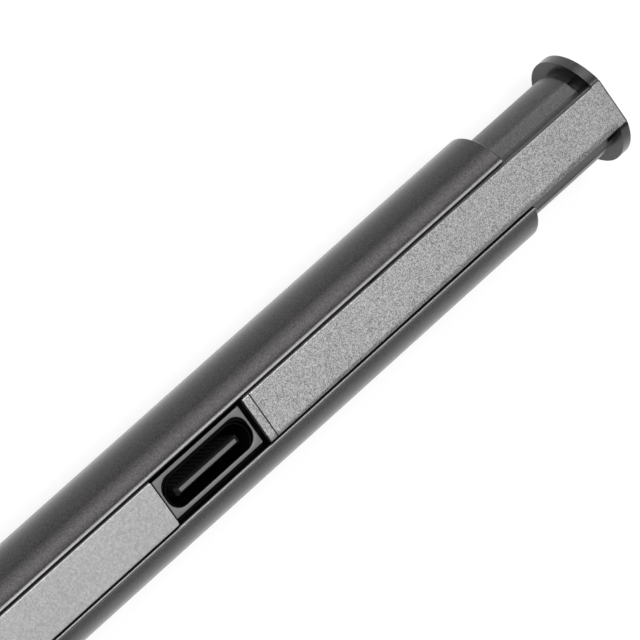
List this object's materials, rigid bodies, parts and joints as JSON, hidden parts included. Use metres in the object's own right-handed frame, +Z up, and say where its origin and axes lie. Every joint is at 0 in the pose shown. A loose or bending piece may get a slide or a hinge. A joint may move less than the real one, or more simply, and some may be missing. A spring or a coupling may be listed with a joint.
{
  "type": "stylus pen",
  "caption": "Slim round stylus pen with a flat metal strip, flush side buttons and a pull-out tail slider that uncovers a charging port.",
  "frame": {"origin": "on the surface that the pen lies on, under the middle of the opened pen's length", "axes": "+X along the barrel from nib to tail, +Z up out of the flat strip, +Y across"},
  "size_m": [0.1536, 0.0094, 0.0095],
  "materials": {
    "anodised_dark": "dark grey anodised, fine satin",
    "strip_metal": "bead-blasted silver grey",
    "nose_plastic": "fine matte",
    "seal_rubber": "moulded",
    "nib_plastic": "smooth moulded",
    "turned_brass": "turned",
    "spring_steel": "bright drawn",
    "sensor_case": "moulded",
    "inner_plastic": "moulded",
    "circuit_board": "solder resist",
    "chip_resin": "moulded epoxy",
    "switch_body": "moulded",
    "plated_magnet": "nickel plated",
    "battery_can": "shrink sleeved",
    "foam_pad": "closed-cell foam",
    "flex_film": "polyimide film",
    "port_steel": "drawn, darkened",
    "port_plastic": "moulded",
    "gold_plate": "gold plated",
    "bezel_plastic": "satin moulded",
    "slider_plastic": "satin moulded",
    "flange_finish": "satin"
  },
  "bodies": {
    "pen": {"barrel": "anodised_dark", "nose_cone": "nose_plastic", "nose_seal": "seal_rubber", "tilt_sleeve": "turned_brass", "nib_spring": "spring_steel", "force_sensor": "sensor_case", "chassis": "inner_plastic", "main_board": "circuit_board", "board_chips": "chip_resin", "lower_switch": "switch_body", "upper_switch": "switch_body", "strip_bed": "inner_plastic", "nose_strip": "strip_metal", "main_strip": "strip_metal", "magnets": "plated_magnet", "battery": "battery_can", "battery_pads": "foam_pad", "battery_tabs": "spring_steel", "flex_cable": "flex_film", "port_board": "circuit_board", "board_screws": "spring_steel", "port_shell": "port_steel", "port_tongue": "port_plastic", "port_contacts": "gold_plate", "port_bezel": "bezel_plastic", "bulkhead": "inner_plastic", "guide_screw": "spring_steel"},
    "tail_slider": {"slider_carrier": "slider_plastic", "slider_strip": "strip_metal", "slider_lip": "strip_metal", "friction_clip": "spring_steel", "end_flange": "flange_finish"},
    "lower_key": {"lower_button": "strip_metal"},
    "upper_key": {"upper_button": "strip_metal"},
    "nib_unit": {"nib": "nib_plastic", "nib_plunger": "turned_brass"}
  },
  "joints": [
    {"name": "tail_slide", "type": "slide", "parent": "pen", "child": "tail_slider", "axis": [1, 0, 0], "range_m": [-0.0096, 0]},
    {"name": "lower_press", "type": "slide", "parent": "pen", "child": "lower_key", "axis": [0, 0, -1], "range_m": [0, 0.0003], "stiffness_N_per_m": 2500, "springref_m": -0.0003},
    {"name": "upper_press", "type": "slide", "parent": "pen", "child": "upper_key", "axis": [0, 0, -1], "range_m": [0, 0.0003], "stiffness_N_per_m": 2500, "springref_m": -0.0003},
    {"name": "nib_press", "type": "slide", "parent": "pen", "child": "nib_unit", "axis": [1, 0, 0], "range_m": [0, 0.0003], "stiffness_N_per_m": 5000, "springref_m": -0.0001, "deforming": ["nib_spring"]}
  ]
}
